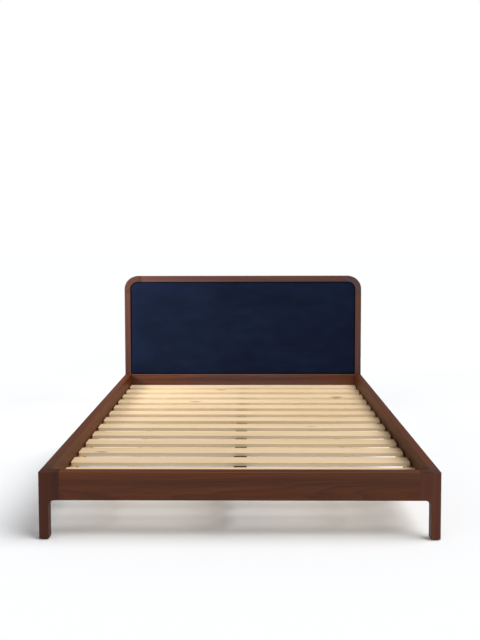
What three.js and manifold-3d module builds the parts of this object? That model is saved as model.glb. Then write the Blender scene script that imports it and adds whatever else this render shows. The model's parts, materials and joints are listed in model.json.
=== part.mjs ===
// Platform bed frame for a queen mattress: walnut legs, rails and a rounded headboard frame round a padded
// panel, with a steel centre beam on three levelling feet and a deck of strapped slats that lifts out.
// Millimetres, +Z up. The origin is on the floor at the middle of the bed, -Y is the foot end, +Y the head.

import * as THREE from "three";
import { mergeVertices } from "three/addons/utils/BufferGeometryUtils.js";
import Module from "manifold-3d";

const wasm = await Module();
wasm.setup();

// ---- Driving dimensions ----

const TIMBER = 40; // thickness of every walnut member
const WELL_WIDTH = 1560; // between the side rails, for a mattress 1524 wide
const WELL_LENGTH = 2050; // foot rail to headboard, for a mattress 2032 long
const RAIL_BOTTOM = 164; // clear height under the bed
const RAIL_TOP = 282;
const HEAD_HEIGHT = 968;
const HEAD_RADIUS = 92; // outside of the headboard's rounded corners
const LEG_ARM = 84; // reach of a foot leg's arms, from its outer faces
const LEG_FILLET = 25; // hollow under each arm
const GLIDE_HEIGHT = 4;
const GAP = 0.3; // between pieces that touch

const SLAT = { count: 14, width: 80, thick: 18, endGap: 5, margin: 15, corner: 6 };
const STRAP = { width: 30, thick: 1.6, x: 500, overhang: 25 };
const LEDGER = { width: 25, height: 27.5, endGap: 5 };
const BEAM = { width: 60, height: 25, wall: 2 };
const BRACKET = { width: 96, reach: 40, plate: 3, seat: 2.7, hole: 2.6, holeX: 41 };
const CENTRE_LEG = { spacing: 512, radius: 17.5, wall: 2, bottom: 22, collar: 18, plate: 56, plateThick: 3 };
const STEM = { radius: 3.9, bore: 4.4, from: 4, to: 70, hexFrom: 9, hexTo: 14, hexRadius: 7.5 };
const PAD = { radius: 16, height: 8, neck: 9, socket: 4.3, socketFloor: 3.5 };

const TENON = { length: 28, thick: 14, width: 16 }; // between headboard members
const RAIL_TENON = { length: 32, thick: 14, height: 80 }; // foot rail into foot leg
const HEAD_TENON = { length: 25, thick: 12, height: 80, setBack: 19 }; // bottom rail into stile
const CORNER_TAIL = 25; // straight ends of a rounded corner block
const PANEL = { reveal: 2.5, recess: 3, cover: 1.5, foam: 12.6, board: 9, back: 12, lap: 10 };
const HOOK_PLATE = { width: 24, height: 90, thick: 3, middle: 223 }; // middle is its height off the floor
const HOOK = { thick: 4.4, throat: 4.4, tongue: 3.2, drop: 8, neck: 10, heights: [193, 235] };
const SLOT = { width: 6, height: 18.4 };
const HOOK_POCKET = { width: 8, depth: 10.3, low: 181, high: 257 };
const GLIDE = { radius: 15, pin: 2, pinBore: 2.4, pinTop: 15 };

// ---- Derived positions ----

const HALF_WELL = WELL_WIDTH / 2;
const HALF_WIDTH = HALF_WELL + TIMBER;
const FOOT_Y = -WELL_LENGTH / 2; // inner face of the foot rail
const HEAD_Y = WELL_LENGTH / 2; // front face of the headboard
const FOOT_FRONT = FOOT_Y - TIMBER;
const HEAD_BACK = HEAD_Y + TIMBER;
const ARM_END_Y = FOOT_FRONT + LEG_ARM; // where a side rail meets a foot leg
const DECK_BOTTOM = RAIL_BOTTOM + BRACKET.seat + GAP + BEAM.height; // top of the beam and ledgers
const REBATE_Y = HEAD_BACK - PANEL.back - 1;
const LID = 1; // how far a cutter runs past the face it opens

// ---- Materials ----

const finish = (color, roughness, metalness = 0) =>
  new THREE.MeshStandardMaterial({ color, roughness, metalness, flatShading: true });
const walnut = finish(0x5f3a28, 0.5);
const veneer = finish(0x68412d, 0.55);
const plywood = finish(0xc9a878, 0.7);
const slatWood = finish(0xd8b98c, 0.7);
const navyVelvet = finish(0x161d33, 0.9);
const foam = finish(0xe8e2c8, 0.95);
const blackSteel = finish(0x1b1b1d, 0.45, 0.6);
const zincSteel = finish(0xa9abad, 0.35, 0.9);
const nylon = finish(0x2a2a2a, 0.6);
const webbing = finish(0xe6e4de, 0.85);

// ---- Shaping helpers ----

// A closed three.js geometry as a manifold-3d solid.
function solid(geometry) {
  const loose = geometry.index ? geometry.toNonIndexed() : geometry;
  const bare = new THREE.BufferGeometry().setAttribute("position", loose.getAttribute("position"));
  const merged = mergeVertices(bare, 1e-4);
  return new wasm.Manifold(
    new wasm.Mesh({
      numProp: 3,
      vertProperties: merged.attributes.position.array,
      triVerts: new Uint32Array(merged.index.array),
    }),
  );
}

function geometryOf(manifold) {
  const { numVert, numProp, vertProperties, triVerts } = manifold.getMesh();
  const position = new Float32Array(numVert * 3);
  for (let i = 0; i < numVert; i++) {
    position.set(vertProperties.subarray(i * numProp, i * numProp + 3), i * 3);
  }
  return new THREE.BufferGeometry()
    .setAttribute("position", new THREE.BufferAttribute(position, 3))
    .setIndex(new THREE.BufferAttribute(triVerts, 1));
}

const join = (...pieces) => geometryOf(pieces.map(solid).reduce((all, one) => all.add(one)));
const cut = (body, ...tools) =>
  geometryOf(tools.map(solid).reduce((left, tool) => left.subtract(tool), solid(body)));

// A box between two limits on each axis.
function block([x0, x1], [y0, y1], [z0, z1]) {
  const box = new THREE.BoxGeometry(x1 - x0, y1 - y0, z1 - z0);
  return box.translate((x0 + x1) / 2, (y0 + y1) / 2, (z0 + z1) / 2);
}

const about = (middle, size) => [middle - size / 2, middle + size / 2];

// A shape drawn in X and Z, as a slab between two Y limits.
function slab(shape, [y0, y1], curveSegments = 24) {
  return new THREE.ExtrudeGeometry(shape, { depth: y1 - y0, bevelEnabled: false, curveSegments })
    .rotateX(Math.PI / 2)
    .translate(0, y1, 0);
}

// A profile of [radius, height] points turned about the Z axis.
function turned(profile, segments = 32) {
  const points = profile.map(([r, z]) => new THREE.Vector2(r, z));
  return new THREE.LatheGeometry(points, segments).rotateX(Math.PI / 2);
}

function place(parent, name, geometry, material, position = [0, 0, 0], turn = 0) {
  const mesh = new THREE.Mesh(geometry, material);
  mesh.name = name;
  mesh.position.set(...position);
  mesh.rotation.z = turn;
  parent.add(mesh);
}

// ---- Rail fittings: two hooks on the side rail drop into a slotted plate on the post ----
// The joint's plane is y = 0, with the post on its -Y side and the side rail on its +Y side.

const plateHeights = about(HOOK_PLATE.middle, HOOK_PLATE.height);

function plateRecess(side) {
  const depth = HOOK_PLATE.thick + 2 * GAP;
  const reach = side > 0 ? [-LID, depth] : [-depth, LID];
  const across = about(0, HOOK_PLATE.width + 2 * GAP);
  return block(across, reach, about(HOOK_PLATE.middle, HOOK_PLATE.height + 2 * GAP));
}

function hookPocket() {
  return block(about(0, HOOK_POCKET.width), [-HOOK_POCKET.depth, 0], [HOOK_POCKET.low, HOOK_POCKET.high]);
}

function postPlate() {
  const plate = block(about(0, HOOK_PLATE.width), [-GAP - HOOK_PLATE.thick, -GAP], plateHeights);
  const slots = HOOK.heights.map((z) =>
    block(about(0, SLOT.width), [-HOOK_PLATE.thick - LID, LID], [z - GAP, z + SLOT.height]),
  );
  return cut(plate, ...slots);
}

// Each hook is a tongue that hangs behind the slotted plate from a neck through its slot.
function railHook() {
  const plate = block(about(0, HOOK_PLATE.width), [GAP, GAP + HOOK_PLATE.thick], plateHeights);
  const hooks = HOOK.heights.flatMap((z) => {
    const tip = -HOOK.throat - HOOK.tongue;
    const neck = block(about(0, HOOK.thick), [tip, LID], [z, z + HOOK.neck]);
    const tongue = block(about(0, HOOK.thick), [tip, -HOOK.throat], [z - HOOK.drop, z + LID]);
    return [neck, tongue];
  });
  return join(plate, ...hooks);
}

// ---- Foot end: two L-shaped corner legs and the rail between them ----

// One arm of a foot leg, drawn from its outer face inwards.
function armProfile() {
  const shape = new THREE.Shape();
  shape.moveTo(0, GLIDE_HEIGHT);
  shape.lineTo(TIMBER, GLIDE_HEIGHT);
  shape.lineTo(TIMBER, RAIL_BOTTOM - LEG_FILLET);
  shape.absarc(TIMBER + LEG_FILLET, RAIL_BOTTOM - LEG_FILLET, LEG_FILLET, Math.PI, Math.PI / 2, true);
  shape.lineTo(LEG_ARM, RAIL_BOTTOM);
  shape.lineTo(LEG_ARM, RAIL_TOP);
  shape.lineTo(0, RAIL_TOP);
  return shape;
}

// The left foot leg. Its local origin is the outer corner, with +X and +Y running inwards along its arms.
function footLeg() {
  const acrossArm = slab(armProfile(), [0, TIMBER]);
  const sideArm = slab(armProfile(), [-TIMBER, 0]).rotateZ(Math.PI / 2);
  const mortise = block(
    [LEG_ARM - RAIL_TENON.length - GAP, LEG_ARM + LID],
    about(TIMBER / 2, RAIL_TENON.thick + 2 * GAP),
    about((RAIL_BOTTOM + RAIL_TOP) / 2, RAIL_TENON.height + 2 * GAP),
  );
  const fitting = [plateRecess(-1), hookPocket()].map((tool) => tool.translate(TIMBER / 2, LEG_ARM, 0));
  return cut(join(acrossArm, sideArm), mortise, ...fitting, glideHole(TIMBER / 2, TIMBER / 2));
}

function footRail() {
  const end = HALF_WIDTH - LEG_ARM - GAP;
  const middleZ = (RAIL_BOTTOM + RAIL_TOP) / 2;
  const body = block([-end, end], [FOOT_FRONT, FOOT_Y], [RAIL_BOTTOM, RAIL_TOP]);
  const tenon = block(
    about(0, 2 * (end + RAIL_TENON.length - GAP)),
    about((FOOT_FRONT + FOOT_Y) / 2, RAIL_TENON.thick),
    about(middleZ, RAIL_TENON.height),
  );
  return join(body, tenon);
}

// ---- Sides ----

function sideRail() {
  const body = block([-HALF_WIDTH, -HALF_WELL], [ARM_END_Y + GAP, HEAD_Y - GAP], [RAIL_BOTTOM, RAIL_TOP]);
  const footRecess = plateRecess(1).translate(-HALF_WELL - TIMBER / 2, ARM_END_Y, 0);
  const headRecess = plateRecess(-1).translate(-HALF_WELL - TIMBER / 2, HEAD_Y, 0);
  return cut(body, footRecess, headRecess);
}

function ledger() {
  return block(
    [-HALF_WELL + GAP, -HALF_WELL + LEDGER.width],
    about(0, WELL_LENGTH - 2 * LEDGER.endGap),
    [DECK_BOTTOM - LEDGER.height, DECK_BOTTOM],
  );
}

// ---- Headboard frame: stiles, rounded corner blocks, top rail and bottom rail ----

const cornerX = -HALF_WIDTH + HEAD_RADIUS; // centre of the left rounded corner
const cornerZ = HEAD_HEIGHT - HEAD_RADIUS;
const stileTop = cornerZ - CORNER_TAIL;
const topRailEnd = -cornerX - CORNER_TAIL;
const topRailMiddle = HEAD_HEIGHT - TIMBER / 2;
const tenonDepth = about(HEAD_Y + 13, TENON.thick);

// The opening inside the headboard frame, drawn in X and Z, shrunk all round by an inset.
function openingShape(inset) {
  const [x, low, high] = [HALF_WELL - inset, RAIL_TOP + inset, HEAD_HEIGHT - TIMBER - inset];
  const radius = HEAD_RADIUS - TIMBER - inset;
  const shape = new THREE.Shape();
  shape.moveTo(-x, low);
  shape.lineTo(x, low);
  shape.absarc(x - radius, high - radius, radius, 0, Math.PI / 2, false);
  shape.absarc(-x + radius, high - radius, radius, Math.PI / 2, Math.PI, false);
  return shape;
}

// The step round the back of the frame that the back panel sits in.
const rebate = () => slab(openingShape(-PANEL.lap - GAP), [REBATE_Y, HEAD_BACK + LID]);

function headStile() {
  const body = block([-HALF_WIDTH, -HALF_WELL], [HEAD_Y, HEAD_BACK], [GLIDE_HEIGHT, stileTop - GAP]);
  const tenon = block(
    about(-HALF_WELL - TIMBER / 2, TENON.width),
    tenonDepth,
    [stileTop - TIMBER, stileTop + TENON.length - GAP],
  );
  const mortise = block(
    [-HALF_WELL - HEAD_TENON.length - GAP, -HALF_WELL + LID],
    about(HEAD_Y + HEAD_TENON.setBack, HEAD_TENON.thick + 2 * GAP),
    about((RAIL_BOTTOM + RAIL_TOP) / 2, HEAD_TENON.height + 2 * GAP),
  );
  const fitting = [plateRecess(-1), hookPocket()].map((tool) =>
    tool.rotateZ(Math.PI).translate(-HALF_WELL - TIMBER / 2, HEAD_Y, 0),
  );
  const pin = glideHole(-HALF_WELL - TIMBER / 2, HEAD_Y + TIMBER / 2);
  return cut(join(body, tenon), mortise, ...fitting, pin, rebate());
}

function headCorner() {
  const inner = HEAD_RADIUS - TIMBER;
  const tailX = cornerX + CORNER_TAIL;
  const shape = new THREE.Shape();
  shape.moveTo(-HALF_WELL, stileTop);
  shape.lineTo(-HALF_WIDTH, stileTop);
  shape.absarc(cornerX, cornerZ, HEAD_RADIUS, Math.PI, Math.PI / 2, true);
  shape.lineTo(tailX, HEAD_HEIGHT);
  shape.lineTo(tailX, HEAD_HEIGHT - TIMBER);
  shape.absarc(cornerX, cornerZ, inner, Math.PI / 2, Math.PI, false);
  const bore = tenonDepth.map((y, i) => y + (i ? GAP : -GAP));
  const mortiseWidth = TENON.width + 2 * GAP;
  const below = block(
    about(-HALF_WELL - TIMBER / 2, mortiseWidth),
    bore,
    [stileTop - LID, stileTop + TENON.length],
  );
  const beside = block([tailX - TENON.length, tailX + LID], bore, about(topRailMiddle, mortiseWidth));
  return cut(slab(shape, [HEAD_Y, HEAD_BACK], 16), below, beside, rebate());
}

function headTopRail() {
  const body = block(
    about(0, 2 * (topRailEnd - GAP)),
    [HEAD_Y, HEAD_BACK],
    [HEAD_HEIGHT - TIMBER, HEAD_HEIGHT],
  );
  const tenon = block(
    about(0, 2 * (topRailEnd + TENON.length - GAP)),
    tenonDepth,
    about(topRailMiddle, TENON.width),
  );
  return cut(join(body, tenon), rebate());
}

function headBottomRail() {
  const body = block(about(0, 2 * (HALF_WELL - GAP)), [HEAD_Y, HEAD_BACK], [RAIL_BOTTOM, RAIL_TOP]);
  const tenon = block(
    about(0, 2 * (HALF_WELL + HEAD_TENON.length - GAP)),
    about(HEAD_Y + HEAD_TENON.setBack, HEAD_TENON.thick),
    about((RAIL_BOTTOM + RAIL_TOP) / 2, HEAD_TENON.height),
  );
  return cut(join(body, tenon), rebate());
}

// ---- Headboard panel: fabric cover over foam and a board, screwed on from the back panel ----

const coverFront = HEAD_Y + PANEL.recess;
const foamFront = coverFront + PANEL.cover + GAP;
const boardFront = foamFront + PANEL.foam + GAP;
const boardBack = boardFront + PANEL.board;
const lining = PANEL.reveal + PANEL.cover + GAP; // inset of the foam and board inside the cover

function headboardCover() {
  const outside = slab(openingShape(PANEL.reveal), [coverFront, boardBack]);
  const inside = slab(openingShape(PANEL.reveal + PANEL.cover), [coverFront + PANEL.cover, boardBack + LID]);
  return cut(outside, inside);
}

// ---- Centre beam, its brackets and the three legs with levelling feet ----

function centreBeam() {
  const height = DECK_BOTTOM - BEAM.height / 2;
  const rectangle = (path, width, tall) => {
    path.moveTo(-width / 2, height - tall / 2);
    path.lineTo(width / 2, height - tall / 2);
    path.lineTo(width / 2, height + tall / 2);
    path.lineTo(-width / 2, height + tall / 2);
    return path;
  };
  const tube = rectangle(new THREE.Shape(), BEAM.width, BEAM.height);
  tube.holes.push(rectangle(new THREE.Path(), BEAM.width - 2 * BEAM.wall, BEAM.height - 2 * BEAM.wall));
  return slab(tube, about(0, WELL_LENGTH - 2 * (BRACKET.plate + 2 * GAP)));
}

// A U-shaped seat for the beam's end. The rail's inner face is y = 0 and the seat reaches towards +Y.
function beamBracket() {
  const low = RAIL_BOTTOM;
  const cheekInner = BEAM.width / 2 + 2 * GAP;
  const cheekOuter = cheekInner + BRACKET.plate;
  const reach = [GAP, BRACKET.reach];
  const back = block(about(0, BRACKET.width), [GAP, GAP + BRACKET.plate], [low + 4, DECK_BOTTOM - 1]);
  const seat = block([-cheekOuter, cheekOuter], reach, [low, low + BRACKET.seat]);
  const cheeks = [1, -1].map((side) =>
    block([side * cheekInner, side * cheekOuter].sort((a, b) => a - b), reach, [low, DECK_BOTTOM - 2]),
  );
  const holes = [1, -1].map((side) =>
    new THREE.CylinderGeometry(BRACKET.hole, BRACKET.hole, 4 * BRACKET.plate, 16)
      .translate(side * BRACKET.holeX, 0, DECK_BOTTOM - BEAM.height / 2),
  );
  return cut(join(back, seat, ...cheeks), ...holes);
}

// A steel tube with a threaded collar in its foot and a plate welded on top.
function centreLeg() {
  const top = DECK_BOTTOM - BEAM.height - GAP;
  const { radius, wall, bottom, collar, plate, plateThick } = CENTRE_LEG;
  const tube = turned([
    [radius, bottom],
    [radius, top - LID],
    [radius - wall, top - LID],
    [radius - wall, bottom + collar],
    [STEM.bore, bottom + collar],
    [STEM.bore, bottom],
    [radius, bottom],
  ]);
  return join(tube, block(about(0, plate), about(0, plate), [top - plateThick, top]));
}

function levellingStem() {
  const rod = turned([[0, STEM.from], [STEM.radius, STEM.from], [STEM.radius, STEM.to], [0, STEM.to]], 24);
  const hex = turned(
    [[0, STEM.hexFrom], [STEM.hexRadius, STEM.hexFrom], [STEM.hexRadius, STEM.hexTo], [0, STEM.hexTo]],
    6,
  );
  return join(rod, hex);
}

function levellingPad() {
  const { radius, height, neck, socket, socketFloor } = PAD;
  return turned([
    [0, 0],
    [radius - 1, 0],
    [radius, 1],
    [radius, height / 2],
    [neck, height],
    [socket, height],
    [socket, socketFloor],
    [0, socketFloor],
  ]);
}

// ---- Slat deck ----

const slatPitch = (WELL_LENGTH - 2 * SLAT.margin - SLAT.width) / (SLAT.count - 1);
const slatBottom = DECK_BOTTOM + GAP;
const firstSlatY = FOOT_Y + SLAT.margin + SLAT.width / 2;

// One slat with rounded corners, lying across the bed at y = 0.
function slat() {
  const x = HALF_WELL - SLAT.endGap;
  const y = SLAT.width / 2;
  const r = SLAT.corner;
  const shape = new THREE.Shape();
  shape.absarc(x - r, y - r, r, 0, Math.PI / 2, false);
  shape.absarc(-x + r, y - r, r, Math.PI / 2, Math.PI, false);
  shape.absarc(-x + r, -y + r, r, Math.PI, 1.5 * Math.PI, false);
  shape.absarc(x - r, -y + r, r, 1.5 * Math.PI, 2 * Math.PI, false);
  return new THREE.ExtrudeGeometry(shape, { depth: SLAT.thick, bevelEnabled: false, curveSegments: 4 });
}

// The strap runs under the slats, so that the mattress lies on bare wood.
function slatStrap() {
  const length = (SLAT.count - 1) * slatPitch + 2 * STRAP.overhang;
  const top = slatBottom - GAP;
  return block(about(-STRAP.x, STRAP.width), about(0, length), [top - STRAP.thick, top]);
}

// ---- Glides under the four wooden legs ----

function glideHole(x, y) {
  const top = GLIDE.pinTop + LID;
  return turned([[0, 0], [GLIDE.pinBore, 0], [GLIDE.pinBore, top], [0, top]], 12).translate(x, y, 0);
}

function glide() {
  const top = GLIDE_HEIGHT - GAP;
  return turned([
    [0, 0],
    [GLIDE.radius - 1, 0],
    [GLIDE.radius, 1],
    [GLIDE.radius, top],
    [GLIDE.pin, top],
    [GLIDE.pin, GLIDE.pinTop],
    [0, GLIDE.pinTop],
  ], 24);
}

// ---- Assembly ----

const bed = new THREE.Group();

// Everything that the bed has on both sides is drawn for the left and mirrored for the right.
for (const [side, scale] of [["left", 1], ["right", -1]]) {
  const half = new THREE.Group();
  half.scale.x = scale;
  bed.add(half);
  const postX = -HALF_WELL - TIMBER / 2;
  place(half, `foot_leg_${side}`, footLeg(), walnut, [-HALF_WIDTH, FOOT_FRONT, 0]);
  place(half, `side_rail_${side}`, sideRail(), walnut);
  place(half, `head_stile_${side}`, headStile(), walnut);
  place(half, `head_corner_${side}`, headCorner(), walnut);
  place(half, `ledger_${side}`, ledger(), slatWood);
  place(half, `slat_strap_${side}`, slatStrap(), webbing);
  for (const [end, y, turn, glideY] of [
    ["foot", ARM_END_Y, 0, FOOT_FRONT + TIMBER / 2],
    ["head", HEAD_Y, Math.PI, HEAD_Y + TIMBER / 2],
  ]) {
    place(half, `rail_hook_${end}_${side}`, railHook(), zincSteel, [postX, y, 0], turn);
    place(half, `post_plate_${end}_${side}`, postPlate(), zincSteel, [postX, y, 0], turn);
    place(half, `glide_${end}_${side}`, glide(), nylon, [postX, glideY, 0]);
  }
}

place(bed, "foot_rail", footRail(), walnut);
place(bed, "head_top_rail", headTopRail(), walnut);
place(bed, "head_bottom_rail", headBottomRail(), walnut);
place(bed, "headboard_back_panel", slab(openingShape(-PANEL.lap), [REBATE_Y + GAP, HEAD_BACK - 1]), veneer);
place(bed, "headboard_board", slab(openingShape(lining), [boardFront, boardBack]), plywood);
place(bed, "headboard_foam", slab(openingShape(lining), [foamFront, foamFront + PANEL.foam]), foam);
place(bed, "headboard_cover", headboardCover(), navyVelvet);

place(bed, "centre_beam", centreBeam(), blackSteel);
place(bed, "beam_bracket_foot", beamBracket(), zincSteel, [0, FOOT_Y, 0]);
place(bed, "beam_bracket_head", beamBracket(), zincSteel, [0, HEAD_Y, 0], Math.PI);
for (const [where, step] of [["foot", -1], ["middle", 0], ["head", 1]]) {
  const at = [0, step * CENTRE_LEG.spacing, 0];
  place(bed, `centre_leg_${where}`, centreLeg(), blackSteel, at);
  place(bed, `levelling_stem_${where}`, levellingStem(), zincSteel, at);
  place(bed, `levelling_pad_${where}`, levellingPad(), nylon, at);
}

for (let i = 0; i < SLAT.count; i++) {
  const name = `slat_${String(i + 1).padStart(2, "0")}`;
  place(bed, name, slat(), slatWood, [0, firstSlatY + i * slatPitch, slatBottom]);
}

export default bed;
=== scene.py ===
import json
import math

import bmesh
import bpy
from mathutils import Matrix, Vector
from mathutils.bvhtree import BVHTree

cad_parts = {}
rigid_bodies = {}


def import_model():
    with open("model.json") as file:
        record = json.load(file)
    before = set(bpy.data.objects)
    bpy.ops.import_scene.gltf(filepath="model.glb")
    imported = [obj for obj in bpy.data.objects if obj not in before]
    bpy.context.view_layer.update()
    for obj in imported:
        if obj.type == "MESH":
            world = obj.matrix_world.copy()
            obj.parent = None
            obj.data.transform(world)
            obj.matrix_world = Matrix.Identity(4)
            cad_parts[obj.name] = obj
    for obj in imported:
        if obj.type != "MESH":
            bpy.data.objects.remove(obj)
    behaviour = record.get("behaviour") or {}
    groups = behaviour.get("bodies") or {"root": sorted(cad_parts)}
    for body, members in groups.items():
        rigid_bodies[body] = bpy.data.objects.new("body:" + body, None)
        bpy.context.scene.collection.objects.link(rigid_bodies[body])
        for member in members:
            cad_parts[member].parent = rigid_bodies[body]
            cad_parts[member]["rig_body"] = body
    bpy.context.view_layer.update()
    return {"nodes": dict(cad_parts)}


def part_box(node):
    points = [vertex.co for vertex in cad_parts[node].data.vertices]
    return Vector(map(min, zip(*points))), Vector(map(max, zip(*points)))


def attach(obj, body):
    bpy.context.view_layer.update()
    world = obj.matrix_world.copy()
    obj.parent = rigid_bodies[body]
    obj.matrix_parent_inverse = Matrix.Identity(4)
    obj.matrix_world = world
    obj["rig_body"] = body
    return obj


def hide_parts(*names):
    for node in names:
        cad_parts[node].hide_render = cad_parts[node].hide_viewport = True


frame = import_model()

# ---- Studio ----
# A plain white floor under one broad, soft light from above and to the right, with a dim even fill all round.
# The camera stands at the foot of the bed, a little above headboard height, and looks almost level.

SCENE = bpy.context.scene
SCENE.view_settings.view_transform = "Standard"

floor_mesh = bpy.data.meshes.new("studio_floor")
FLOOR_REACH = 60.0
floor_corners = [(-FLOOR_REACH, -FLOOR_REACH, 0), (FLOOR_REACH, -FLOOR_REACH, 0),
                 (FLOOR_REACH, FLOOR_REACH, 0), (-FLOOR_REACH, FLOOR_REACH, 0)]
floor_mesh.from_pydata(floor_corners, [], [(0, 1, 2, 3)])
floor = bpy.data.objects.new("studio_floor", floor_mesh)
SCENE.collection.objects.link(floor)
floor_paint = bpy.data.materials.new("white floor")
floor_paint.use_nodes = True
floor_shader = floor_paint.node_tree.nodes["Principled BSDF"]
floor_shader.inputs["Base Color"].default_value = (0.86, 0.87, 0.88, 1)
floor_shader.inputs["Roughness"].default_value = 0.9
floor_shader.inputs["Specular IOR Level"].default_value = 0.0
floor_mesh.materials.append(floor_paint)

# The fill is dim on the bed but the backdrop itself reads as white.
FILL = 0.32
world = bpy.data.worlds.new("studio")
SCENE.world = world
world.use_nodes = True
world_nodes = world.node_tree.nodes
world_links = world.node_tree.links
fill_light = world_nodes["Background"]
fill_light.inputs["Color"].default_value = (0.95, 0.97, 1.0, 1)
fill_light.inputs["Strength"].default_value = FILL
backdrop = world_nodes.new("ShaderNodeBackground")
backdrop.inputs["Color"].default_value = (1, 1, 1, 1)
seen = world_nodes.new("ShaderNodeLightPath")
either = world_nodes.new("ShaderNodeMixShader")
world_links.new(seen.outputs["Is Camera Ray"], either.inputs[0])
world_links.new(fill_light.outputs[0], either.inputs[1])
world_links.new(backdrop.outputs[0], either.inputs[2])
world_links.new(either.outputs[0], world_nodes["World Output"].inputs["Surface"])


def softbox(name, strength, spread_deg, lean_deg, turn_deg):
    """A broad, even light: spread is how wide it looks, lean is its angle from straight down."""
    lamp = bpy.data.lights.new(name, "SUN")
    lamp.energy = strength
    lamp.angle = math.radians(spread_deg)
    holder = bpy.data.objects.new(name, lamp)
    holder.rotation_euler = (math.radians(lean_deg), 0, math.radians(turn_deg))
    SCENE.collection.objects.link(holder)


softbox("overhead", 2.95, 50, 37, 74)
softbox("front_fill", 0.7, 90, 66, -20)

# A small shaded panel light beside the headboard, which falls off across it from left to right.
PANEL_AT = Vector((-2.1, -0.1, 1.25))
PANEL_AIM = Vector((-0.35, 1.03, 0.72))
panel_lamp = bpy.data.lights.new("panel_light", "AREA")
panel_lamp.shape = "SQUARE"
panel_lamp.size = 0.7
panel_lamp.energy = 12
panel_lamp.spread = math.radians(75)
panel_light = bpy.data.objects.new("panel_light", panel_lamp)
panel_light.matrix_world = (
    Matrix.Translation(PANEL_AT) @ (PANEL_AIM - PANEL_AT).to_track_quat("-Z", "Y").to_matrix().to_4x4()
)
panel_light.visible_camera = False
SCENE.collection.objects.link(panel_light)

# The lens, and where the camera stands and looks.
LENS_MM = 40.41
CAMERA_AT = (0.0374, -3.9376, 1.2346)
CAMERA_TILT_DEG = -2.93
CAMERA_TURN_DEG = 0.64
CAMERA_ROLL_DEG = 0.13
CAMERA_DROP = -0.0716
lens = bpy.data.cameras.new("camera")
lens.lens = LENS_MM
lens.shift_y = CAMERA_DROP
camera = bpy.data.objects.new("camera", lens)
camera.matrix_world = (
    Matrix.Translation(CAMERA_AT)
    @ Matrix.Rotation(math.radians(CAMERA_TURN_DEG), 4, "Z")
    @ Matrix.Rotation(math.radians(CAMERA_TILT_DEG), 4, "X")
    @ Matrix.Rotation(math.radians(CAMERA_ROLL_DEG), 4, "Y")
    @ Matrix.Rotation(math.pi / 2, 4, "X")
)
SCENE.collection.objects.link(camera)
SCENE.camera = camera

# ---- Foot legs ----
# Two L-shaped corner legs in solid walnut: an upright with an arm along the foot rail and another along the
# side rail, and a hollow swept under each arm. The arrises are rounded over with a small cutter.


SHARP_DEG = 35
MORTISE_REACH = 0.12
JOINT_REACH = 0.001
NUDGE = 0.0002

every_solid = bmesh.new()
for solid in frame["nodes"].values():
    every_solid.from_mesh(solid.data)
neighbours = BVHTree.FromBMesh(every_solid)
every_solid.free()


def is_outer_arris(edge, tree):
    """True for a sharp outside edge, but not round a mortise, slot or hole, or where two pieces meet."""
    if len(edge.link_faces) != 2 or not edge.is_convex:
        return False
    if edge.calc_face_angle() < math.radians(SHARP_DEG):
        return False
    middle = (edge.verts[0].co + edge.verts[1].co) / 2
    one, two = edge.link_faces
    for face, other in ((one, two), (two, one)):
        start = middle + face.normal * NUDGE / 2 - other.normal * NUDGE
        if tree.ray_cast(start, face.normal, MORTISE_REACH)[0] is not None:
            return False
        if neighbours.ray_cast(start, face.normal, JOINT_REACH)[0] is not None:
            return False
    return True


def eased(node, name, material, radius, segments=3, picks=is_outer_arris):
    """A copy of a CAD solid with its outside arrises rounded over and a wear mark kept on them."""
    shape = bmesh.new()
    shape.from_mesh(frame["nodes"][node].data)
    bmesh.ops.remove_doubles(shape, verts=shape.verts, dist=2e-6)
    bmesh.ops.dissolve_limit(shape, angle_limit=math.radians(0.6), verts=shape.verts, edges=shape.edges)
    shape.normal_update()
    tree = BVHTree.FromBMesh(shape)
    arrises = [edge for edge in shape.edges if picks(edge, tree)]
    wear = shape.faces.layers.float.new("wear")
    rounded = bmesh.ops.bevel(
        shape, geom=arrises, offset=radius, offset_type="OFFSET", segments=segments, profile=0.5,
        affect="EDGES", clamp_overlap=False, loop_slide=True,
    )
    for face in rounded["faces"]:
        face[wear] = 1.0
    mesh = bpy.data.meshes.new(name)
    shape.to_mesh(mesh)
    shape.free()
    mesh.polygons.foreach_set("use_smooth", [True] * len(mesh.polygons))
    piece = bpy.data.objects.new(name, mesh)
    SCENE.collection.objects.link(piece)
    mesh.materials.append(material)
    level = piece.modifiers.new("even normals", "WEIGHTED_NORMAL")
    level.weight = 100
    return piece


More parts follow.
